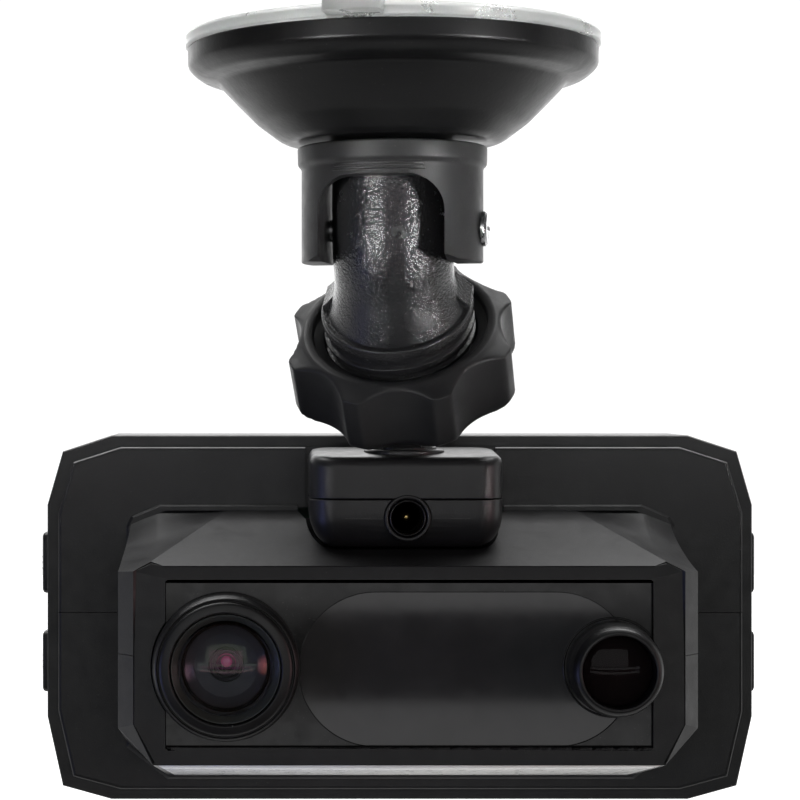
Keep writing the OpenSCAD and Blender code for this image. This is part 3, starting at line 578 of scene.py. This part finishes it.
rear_levels = ((0.12, -0.05), (0.3, -0.2), (18.3, -0.2), (19.2, 0.2), (19.8, 0.9), (20, 1.7))
rear = loft([[(x, y, z) for x, z in outline(i)] for y, i in rear_levels])
screen = prism(round_rect(-46, -23, 46, 23, 1.6), 18.8, 21)
hollow = prism(outline(1.8), -1, 17.8)
window_cut = prism(round_rect(-31, -18, 31, 18, 0.8), 16.5, 21)
cuts = [hollow, screen, window_cut]
BUTTON_Y, BUTTON_Z = 5, {"upper": 8.3, "lower": -7.3}
cuts += [boxed((x, BUTTON_Y - 2.15, z - 4.95), (x + 10, BUTTON_Y + 2.15, z + 4.95))
         for x in (-60, 50) for z in BUTTON_Z.values()]
cuts += [boxed((-37.75, 9.35, -40), (-26.25, 10.85, -20))]
for s in (-1, 1):
    for z in (-18, 18):
        cuts += [rod(s * 49.8, z, 1.15, 15, 21, 24), rod(s * 49.8, z, 2.2, 18.7, 21, 32)]
cuts += [column(circle(0.7, 20, 31 + 2.6 * i, 12), -40, -20) for i in range(5)]
piece("case_rear", [carve(rear, cuts)], DEV, "device", "casing_plastic", ["rear_shell"], (0.22, 3, 20))
glass = loft([[(x, y, z) for x, z in round_rect(-45.8 + i, -22.8 + i, 45.8 - i, 22.8 - i, 1.4)]
              for y, i in ((18.8, 0), (19.5, 0), (19.68, 0.18))])
piece("screen_glass", [glass], DEV, "device", "display_glass", ["display_glass"], (0.06, 2, 30))
frame_line = carve(prism(round_rect(-37.6, -21.4, 37.6, 21.4, 0.8), 19.66, 19.7),
                   [prism(round_rect(-37.2, -21.0, 37.2, 21.0, 0.6), 19, 20.5)])
piece("screen_border", [frame_line], DEV, "device", "display_glass", (), None, MATS["bezel_plastic"])

for side_name, s in (("left", -1), ("right", 1)):
    for level, z in BUTTON_Z.items():
        rings = []
        for out, i in ((52.6, 0), (55.8, 0), (56.1, 0.15), (56.27, 0.5), (56.3, 1.3)):
            face = round_rect(-2 + i, -4.8 + i, 2 - i, 4.8 - i, max(0.9 - i, 0.25), 5)
            rings.append([(s * out, BUTTON_Y + a, z + b) for a, b in face])
        near, far = sorted((s * 56.1, s * 56.36))
        marks = [boxed((near, 4.1, z + d - 0.14), (far, 5.9, z + d + 0.14)) for d in (-0.9, 0, 0.9)]
        node = f"button_{side_name}_{level}"
        owner = next(b for b, ns in frame["record"]["behaviour"]["bodies"].items() if node in ns)
        piece(node + "_cap", [loft(rings)] + marks, DEV, owner, "casing_plastic", [node], None)

# ---------------------------------------------------------------- front housing

Y0, CREASE_END = -1.5, (38.0, -20.7, 10.3)


def base_z(x):
    """Height of the scoop's end on the plate."""
    if x < 37.6:
        return 17.1 + (x - 26.8) * 0.25 / 10.8
    return 17.35 - (x - 37.6) * 1.75 / 4.3


def facet_z(x, y):
    """The plane of the housing's top corner."""
    return 17.1 - 0.359 * (x - 26.8) + 0.1447 * (y - Y0)


def flare_z(height, y, run):
    """How far the scoop has risen towards the plate, in a long fillet of that final height."""
    reach = max(1.9 * height, 0.92 * run) + 1e-6
    w = max(0.0, 1 - (Y0 - y) / reach) * 0.985
    return height * (1 - math.sqrt(1 - w * w)) / (1 - math.sqrt(1 - 0.985 ** 2))


# One half of the housing. Each row of the scoop runs from the crease in front back to the plate
ROWS, COLS = 18, 22
starts = [(26.8 + 11.2 * s, Y0 - 19.2 * s, 17.1 - 6.8 * s) for s in [j / ROWS for j in range(ROWS + 1)]]
starts += [(38.9, -21.35, 9.83), (39.8, -22.0, 9.4), (40.5, -22.55, 9.0), (41.7, -21.1, 8.85),
           (42.9, -19.6, 8.7)]
steps_w = [math.sin(math.pi / 2 * k / COLS) for k in range(COLS + 1)]
scoop_rows = []
for x, y, z in starts:
    xe = min(x, 38 + (x - 38) * 0.8) if x > 38 else x
    lift = base_z(xe) - (z + facet_z(xe, Y0) - facet_z(x, y))
    row = []
    for w in steps_w:
        px, py = x + (xe - x) * w * w, y + (Y0 - y) * w
        row.append((px, py, z + facet_z(px, py) - facet_z(x, y) + flare_z(max(lift, 0), py, Y0 - y)))
    scoop_rows.append(row)
verts, faces = [], []


def patch(rows):
    """A grid of quads, its rows of equal length."""
    base = len(verts)
    n = len(rows[0])
    for r in rows:
        verts.extend(r)
    for i in range(len(rows) - 1):
        for k in range(n - 1):
            a = base + i * n + k
            faces.append((a, a + 1, a + n + 1, a + n))


patch(scoop_rows)
crease = starts[:ROWS + 1]
patch([[(0, y, z) for x, y, z in crease], crease])
patch([[(0, -22.2, 9.77), (36.1, -22.2, 9.77)], [(0, CREASE_END[1], 10.3), CREASE_END]])
wall_top = scoop_rows[-1]
wall_low = [(42.9 - 0.6 * w, -19.6 + 18.1 * w, -14.4 - 5.2 * w) for w in steps_w]
patch([wall_top, wall_low])
corner = [(37.6 - 1.4 * w, -22.3 + 20.8 * w, -19.5 - 4.9 * w) for w in steps_w]
patch([wall_low, corner])
patch([corner, [(0, y, z) for x, y, z in corner]])
patch([[(40.5, -22.55, 9.0), (41.7, -21.1, 8.85), (42.9, -19.6, 8.7)],
       [(40.5, -22.55, -13.5), (41.7, -21.1, -13.95), (42.9, -19.6, -14.4)]])
base = len(verts)
verts += [(40.5, -22.55, -13.5), (41.7, -21.1, -13.95), (42.9, -19.6, -14.4), (37.6, -22.3, -19.5)]
faces += [(base, base + 1, base + 2, base + 3)]
# Both halves are joined and given a wall
shell = bmesh.new()
for sign in (1, -1):
    made = [shell.verts.new((sign * x, y, z)) for x, y, z in verts]
    for f in faces:
        loop = [made[i] for i in (f if sign > 0 else f[::-1])]
        shell.faces.new(loop)
bmesh.ops.remove_doubles(shell, verts=shell.verts, dist=0.002)
bmesh.ops.dissolve_degenerate(shell, edges=shell.edges, dist=0.001)
bmesh.ops.recalc_face_normals(shell, faces=shell.faces)
middle = min(shell.faces, key=lambda f: f.calc_center_median().z)
if middle.normal.z > 0:
    bmesh.ops.reverse_faces(shell, faces=shell.faces)
outer = bpy.data.meshes.new("housing")
shell.to_mesh(outer)
shell.free()
work = bpy.data.objects.new("work", outer)
bpy.context.scene.collection.objects.link(work)
thick = work.modifiers.new("t", "SOLIDIFY")
thick.thickness, thick.offset = 1.3, -1
bpy.context.view_layer.update()
housing = bpy.data.meshes.new_from_object(work.evaluated_get(bpy.context.evaluated_depsgraph_get()))
bpy.data.objects.remove(work)

GAP = 0.4
pocket_cut = prism(round_rect(-14.45 - GAP, 11.75, 14.45 + GAP, 40, 4.2), -19.5, -1.0)
funnel = column([(-16.3, -1.0), (-16.3, -1.52), (-14.85, -5.5), (14.85, -5.5), (16.3, -1.52), (16.3, -1.0)],
                12, 40)
housing = carve(housing, [pocket_cut, funnel])
# A hairline seam parts the upper shell from the lower one
above = boxed((-43.98, -30, -3.36), (43.98, 5, 30))
below = boxed((-60, -30, -40), (60, 5, -3.44))
house_up, house_low = carve(housing, [above], "INTERSECT"), carve(housing, [below], "INTERSECT")

foot = [(37.6, 17.75), (41.9, 15.95), (42.7, 14.5), (42.7, -20), (36.3, -25.0)]
foot = foot + [(-x, z) for x, z in reversed(foot)]
foot_in = [(x * 0.97, z * 0.95) for x, z in foot]
foot_levels = ((-1.6, 1.0), (-1.95, 1.0), (-2.25, 0.992))
foot_ring = loft([[(x * s, y, z * (1 - (1 - s) * 1.8)) for x, z in foot] for y, s in foot_levels])
foot_ring = carve(foot_ring, [prism(foot_in, -3, 1), pocket_cut, funnel])
plate_levels = ((-1.5, 2.1), (-1.38, 1.78), (-1.1, 1.6), (-0.02, 1.6))
plate = loft([[(x, y, z) for x, z in outline(i)] for y, i in plate_levels])
plate = carve(plate, [prism([(x * 0.9, z * 0.82) for x, z in foot], -3, 1),
                      boxed((-17, -3, 5), (17, 1, 17.3)), pocket_cut])
hi, lo = boxed((-60, -5, 0.94), (60, 5, 40)), boxed((-60, -5, -40), (60, 5, 0.86))
plate_up, plate_low = carve(plate, [hi], "INTERSECT"), carve(plate, [lo], "INTERSECT")
foot_up, foot_low = carve(foot_ring, [hi], "INTERSECT"), carve(foot_ring, [lo], "INTERSECT")

# The dock's pocket, sunk in the housing's slope, with a hole for each contact
tub = column(round_rect(-16.2, -18.6, 16.2, -0.2, 4), 9.2, 15.6)
slope = across([(-30, 6.4), (-22.6, 9.0), (-1.6, 16.45), (-1.6, 30), (-30, 30)], -40, 40)
floor_cut = across([(-25, 9.4), (-17.6, 10.4), (-16.2, 11.75), (-1.5, 11.75), (-1.5, 40), (-25, 40)],
                   -14.85, 14.85)
tub_cut = carve(pocket_cut, [floor_cut], "INTERSECT")
tub = carve(tub, [slope, tub_cut] + [column(circle(0.9, 24, x, y), 5, 13) for x, y in CONTACTS])
piece("housing_upper", [house_up, plate_up, foot_up], DEV, "device", "casing_plastic",
      ["front_shell_upper"], (0.16, 3, 13))
piece("dock_pocket", [tub], DEV, "device", "casing_plastic", (), (0.2, 2, 30))
piece("housing_lower", [house_low, plate_low, foot_low], DEV, "device", "casing_plastic",
      ["front_shell_lower"], (0.16, 3, 13))

# A pale strip under the housing: its near-white colour is a painted reflection of grazing light on the black
# casing
strip = [(-36.8, -22.2, -19.52), (36.8, -22.2, -19.52), (35.2, -2.4, -24.19), (-35.2, -2.4, -24.19)]
painted_sheen_strip = loft([[(x, y, z - d) for x, y, z in strip] for d in (-0.1, 0.08)])
piece("underside_face", [painted_sheen_strip], DEV, "device", "casing_plastic", (), None, PAINTED_SHEEN)

# Bezel: side bars flat in front, the top bar leaning back
frame_out = [(36.1, 9.72), (37.9, 10.05), (40.35, 8.95), (40.35, -13.5), (37.2, -19.3)]
frame_out = frame_out + [(-x, z) for x, z in reversed(frame_out)]


def front_y(x, z):
    """Depth of the bezel's face."""
    return -22.6 + 0.5 * max(0.0, (z - 7.9) / 1.85) * (1.0 if abs(x) < 36.2 else 1.25)


bar_verts, bar_faces = loft([[(x, front_y(x, z), z) for x, z in frame_out],
                             [(x, -20.4, z) for x, z in frame_out]], caps=(False, True))
# Its front is flat faces from the outline's ten points to the four corners of the opening, from c on
c = len(bar_verts)
bar_verts += [(35.8, -22.6, 7.9), (35.8, -22.6, -17.3), (-35.8, -22.6, -17.3), (-35.8, -22.6, 7.9)]
bar_faces += [(0, 9, c + 3, c), (0, c, 1), (1, c, 2), (2, c, c + 1, 3), (3, c + 1, 4), (4, c + 1, c + 2, 5),
              (5, c + 2, 6), (6, c + 2, c + 3, 7), (7, c + 3, 8), (8, c + 3, 9), (c, c + 3, c + 2, c + 1)]
EYE, LASER = (-26.9, -5), (30, -5.2)
opening = prism(round_rect(-35.8, -17.3, 35.8, 7.75, 0.5, 3), -30, -10)
sensor_holes = [rod(*EYE, 11.05, -30, -10, 96), rod(*LASER, 7.1, -30, -10, 72)]
bezel = carve((bar_verts, bar_faces), [opening] + sensor_holes)
piece("bezel", [bezel], DEV, "device", "bezel_plastic", ["front_bezel"], (0.16, 3, 8))


def stadium(r, n=48):
    """The window's outline: two half circles joined by straight lines."""
    return arc(21.75, -5.5, r, -90, 90, n) + arc(-4.85, -5.5, r, 90, 270, n)


panel = carve(prism(round_rect(-35.75, -17.25, 35.75, 7.7, 0.5, 3), -21.6, -19.8),
              [prism(stadium(11.42), -23, -20.9), rod(*EYE, 8.6, -30, 0, 72), rod(*LASER, 5.6, -30, 0, 64)])
piece("panel", [panel], DEV, "device", "gloss_black", ["front_panel"], (0.1, 2, 35))
pane = carve(prism(stadium(11.33), -21.5, -20.95),
             [rod(*EYE, 10.95, -30, 0, 96), rod(*LASER, 5.6, -30, 0, 64)])
piece("sensor_pane", [pane], DEV, "device", "window_plastic", ["sensor_window"], (0.12, 3, 35))

# ---------------------------------------------------------------- camera

CAM = DEV @ Matrix.Translation((EYE[0] * MM, 0, EYE[1] * MM))
barrel = fillet([(10.8, -21.65), (10.85, -23.2), (10.7, -24.6), (10.3, -25.5), (10.1, -25.6), (9.98, -25.3),
                 (9.82, -25.3), (9.7, -25.8), (9.4, -26.0), (8.35, -26.25), (8.2, -26.15), (8.1, -25.8),
                 (8.08, -24.0), (7.05, -24.0), (7.05, -21.8), (6.3, -21.8), (6.3, -12.0)], 0.12, 3)
piece("lens_barrel", [lathe(barrel, 144, "Y")], CAM, "device", "barrel_plastic", ["camera_barrel"], None)
ring = fillet([(6.96, -24.02), (6.96, -24.6), (7.02, -24.75), (7.8, -25.75), (7.95, -25.8), (8.0, -25.5),
               (8.02, -24.02)], 0.06, 3)
piece("lens_ring", [lathe(ring, 144, "Y", closed=True)], CAM, "device", "ring_metal",
      ["lens_retaining_ring"], None)
lens = dome(7.0, 11.0, -27.0, 20) + [(7.0, -21.9), (5.9, -21.9)]
lens += [(5.9 * math.cos(a), -21.9 - 2.6 * math.sin(a)) for a in [math.pi / 2 * k / 18 for k in range(1, 18)]]
piece("front_lens", [lathe(lens + [(0, -24.5)], 144, "Y")], CAM, "device", "coated_glass", ["camera_lens"],
      None)
cell = [(6.28, -21.6), (6.05, -21.75), (5.9, -21.3), (4.4, -20.2), (2.35, -19.6), (2.25, -19.5),
        (2.2, -19.0), (1.95, -18.9), (1.92, -19.2), (1.6, -19.2), (1.55, -18.8), (1.32, -18.6),
        (1.32, -18.0), (2.5, -17.97), (2.5, -11.0)]
piece("lens_cell_rings", [lathe(fillet(cell, 0.05, 3), 120, "Y")], CAM, "device", "barrel_plastic",
      ["lens_cell"], None, CELL)
rim = [(2.42, -19.6), (2.3, -19.72), (2.18, -19.55), (2.22, -19.4)]
step = [(1.95, -19.15), (1.86, -19.3), (1.7, -19.3), (1.6, -19.15)]
piece("lens_cell_edge", [lathe(r, 96, "Y", closed=True) for r in (rim, step)], CAM, "device", "ring_metal",
      (), None)
inner = dome(1.25, 2.6, -19.15, 12) + [(1.25, -18.02), (2.4, -17.95), (2.4, -17.4), (0, -17.4)]
piece("inner_lens", [lathe(inner, 72, "Y")], CAM, "device", "coated_glass", ["rear_lens_group"], None)
pupil = [(0, -17.3), (0.28, -17.28), (0.52, -17.15), (0.52, -16.6), (0, -16.6)]
# The pupil glows magenta: painted light, not a lamp.
piece("pupil", [lathe(pupil, 48, "Y")], CAM, "device", "coated_glass", (), None, PUPIL_PAINTED_GLOW)
stop = [(0.52, -17.05), (0.9, -17.2), (2.3, -17.35), (2.3, -16.4), (0.52, -16.4)]
piece("pupil_stop", [lathe(stop, 48, "Y", closed=True)], CAM, "device", "barrel_plastic", (), None)

# ---------------------------------------------------------------- laser sensor

LAS = DEV @ Matrix.Translation((LASER[0] * MM, 0, LASER[1] * MM))
cup = fillet([(6.8, -21.65), (6.85, -23.0), (6.8, -25.4), (6.6, -26.9), (6.25, -27.8), (5.8, -28.15),
              (5.45, -28.2), (5.3, -27.9), (5.28, -24.3), (5.25, -23.6), (0, -23.6)], 0.2, 4)
piece("laser_cup", [lathe(cup, 120, "Y")], LAS, "device", "barrel_plastic", ["laser_barrel"], None)
front = dome(5.2, 12, -26.4, 16) + [(5.22, -24.2), (0, -24.2)]
piece("laser_front", [lathe(front, 96, "Y")], LAS, "device", "laser_glass", ["laser_lens"], None)

seat = [(7.1, -21.4), (7.1, -21.66), (7.2, -21.76), (7.34, -21.76), (7.42, -21.66), (7.42, -21.4)]
piece("laser_seat", [lathe(seat, 96, "Y", closed=True)], LAS, "device", "gloss_black", (), None)

# The CAD nodes that are carried take the finish of their slot
slot_of = {p["node"]: p["material_slot"] for p in frame["record"]["subparts"]}
for name, o in frame["nodes"].items():
    o.data.materials.clear()
    o.data.materials.append(MATS[slot_of[name]])

# ---------------------------------------------------------------- floor, light and camera


def plain(name, color, strength=0.0):
    """A matt material for what stands round the object, which may also glow."""
    m, nt, b = principled(name)
    coords = nt.nodes.new("ShaderNodeTexCoord").outputs["Object"]
    light = tuple(min(1, c * 1.02) for c in color)
    tint = ramp(nt, noise(nt, coords, 6, 3), [(0.3, tuple(c * 0.98 for c in color)), (0.7, light)])
    nt.links.new(tint, b.inputs["Base Color"])
    b.inputs["Roughness"].default_value = 0.7
    b.inputs["Emission Color"].default_value = (1, 1, 1, 1)
    b.inputs["Emission Strength"].default_value = strength
    return m


def quad(name, corners, material):
    """One flat face that is part of the stage."""
    me = bpy.data.meshes.new(name)
    me.from_pydata(corners, [], [(0, 1, 2, 3)])
    me.materials.append(material)
    o = bpy.data.objects.new(name, me)
    bpy.context.scene.collection.objects.link(o)
    return o


FLOOR = cad_low.z - 0.45
floor = plain("floor", (0.84, 0.84, 0.83))
nt = floor.node_tree
# The floor is lit from within from a little way behind the object on
glow = nt.nodes.new("ShaderNodeMapRange")
glow.inputs["From Min"].default_value, glow.inputs["From Max"].default_value = 0.25, 0.9
spread = nt.nodes.new("ShaderNodeSeparateXYZ")
nt.links.new(nt.nodes.new("ShaderNodeTexCoord").outputs["Object"], spread.inputs["Vector"])
nt.links.new(spread.outputs["Y"], glow.inputs["Value"])
nt.links.new(glow.outputs["Result"], nt.nodes["Principled BSDF"].inputs["Emission Strength"])
near = quad("floor_near", [(-4, -0.15, FLOOR), (4, -0.15, FLOOR), (4, 0.9, FLOOR), (-4, 0.9, FLOOR)], floor)
near.visible_camera = False
quad("floor", [(-4, 0.9, FLOOR), (4, 0.9, FLOOR), (4, 6, FLOOR), (-4, 6, FLOOR)], floor)

# Two cards that the camera doesn't see, for the window to reflect
for name, z0, z1, strength in (("card_high", -0.172, -0.12, 1.1), ("card_low", -0.275, -0.222, 1.0)):
    card = quad(name, [(-0.8, -0.9, z0), (0.8, -0.9, z0), (0.8, -0.9, z1), (-0.8, -0.9, z1)],
                plain(name, (0.02, 0.02, 0.02), strength))
    card.visible_camera = False


def softbox(name, at, aim, size, power, tint=(1, 1, 1), spread=math.pi):
    """An area light. A narrow spread gathers its power, so such a light needs very little."""
    lamp = bpy.data.lights.new(name, "AREA")
    lamp.shape, lamp.size, lamp.size_y = "RECTANGLE", size[0], size[1]
    lamp.energy, lamp.color, lamp.spread = power, tint, spread
    o = bpy.data.objects.new(name, lamp)
    o.location = at
    o.rotation_euler = (Vector(aim) - Vector(at)).to_track_quat("-Z", "Y").to_euler()
    bpy.context.scene.collection.objects.link(o)
    return o


mid = (cad_low + cad_high) / 2
softbox("top", (0.0, 0.14, 0.6), mid, (0.9, 0.4), 9)
softbox("right", (0.75, 0.1, -0.02), mid, (0.3, 0.5), 0.5)
softbox("fill", (-0.02, -1.1, 0.14), mid, (1.1, 0.5), 1.5)
# Narrow beams on the arm's tube and on the camera's lens
FRONT_REACH, LENS_REACH = 0.6, 0.12
for name, azimuth, power in (("front_left", -36, 0.032), ("front_right", 46, 0.042)):
    a = math.radians(azimuth)
    at = (FRONT_REACH * math.sin(a), -FRONT_REACH * math.cos(a), -0.112)
    softbox(name, at, (0, -0.005, -0.018), (0.18, 0.05), power, spread=0.14)

eye = CAM @ Vector((0, -0.024, 0))
glints = (("lens_left", -66, 0.024, (0.35, 0.4, 1.0)), ("lens_right", 62, 0.004, (1.0, 0.6, 0.62)))
for name, azimuth, below, tint in glints:
    a = math.radians(azimuth)
    at = (eye.x + LENS_REACH * math.sin(a), eye.y - LENS_REACH * math.cos(a), eye.z - below)
    softbox(name, at, eye, (0.06, 0.11), 0.002, tint, 0.5)

world = bpy.data.worlds.new("studio")
bpy.context.scene.world = world
world.use_nodes = True
nt = world.node_tree
background = nt.nodes["Background"]
direction = nt.nodes.new("ShaderNodeTexCoord").outputs["Generated"]
split = nt.nodes.new("ShaderNodeSeparateXYZ")
nt.links.new(direction, split.inputs["Vector"])
toward = nt.nodes.new("ShaderNodeMapRange")
toward.inputs["From Min"].default_value = -1.0
toward.inputs["From Max"].default_value = 1.0
nt.links.new(split.outputs["Y"], toward.inputs["Value"])
# Dark in front of the object and bright behind it, so that only grazing surfaces catch it
stops = [(0.0, 0.03), (0.35, 0.045), (0.5, 0.05), (0.65, 0.14), (0.82, 0.6), (0.97, 2.6)]
fade = ramp(nt, toward.outputs["Result"], stops)
path = nt.nodes.new("ShaderNodeLightPath")
choose = nt.nodes.new("ShaderNodeMix")
choose.inputs["B"].default_value = 1.1
nt.links.new(path.outputs["Is Camera Ray"], choose.inputs["Factor"])
nt.links.new(fade, choose.inputs["A"])
nt.links.new(choose.outputs["Result"], background.inputs["Strength"])
background.inputs["Color"].default_value = (1, 1, 1, 1)
bpy.context.scene.view_settings.view_transform = "Standard"

# The photo's one-point view. Its crop is off the lens's axis, so the lens is shifted
cam = bpy.data.cameras.new("camera")
cam.lens, cam.sensor_width = 101.7, 36
cam.shift_x, cam.shift_y = 0.175, -0.01
cam.clip_start, cam.clip_end = 0.01, 30
view = bpy.data.objects.new("camera", cam)
view.location = device + Vector((-0.0219, -0.354, 0.0353))
view.rotation_euler = (math.pi / 2, 0, 0)
bpy.context.scene.collection.objects.link(view)
bpy.context.scene.camera = view
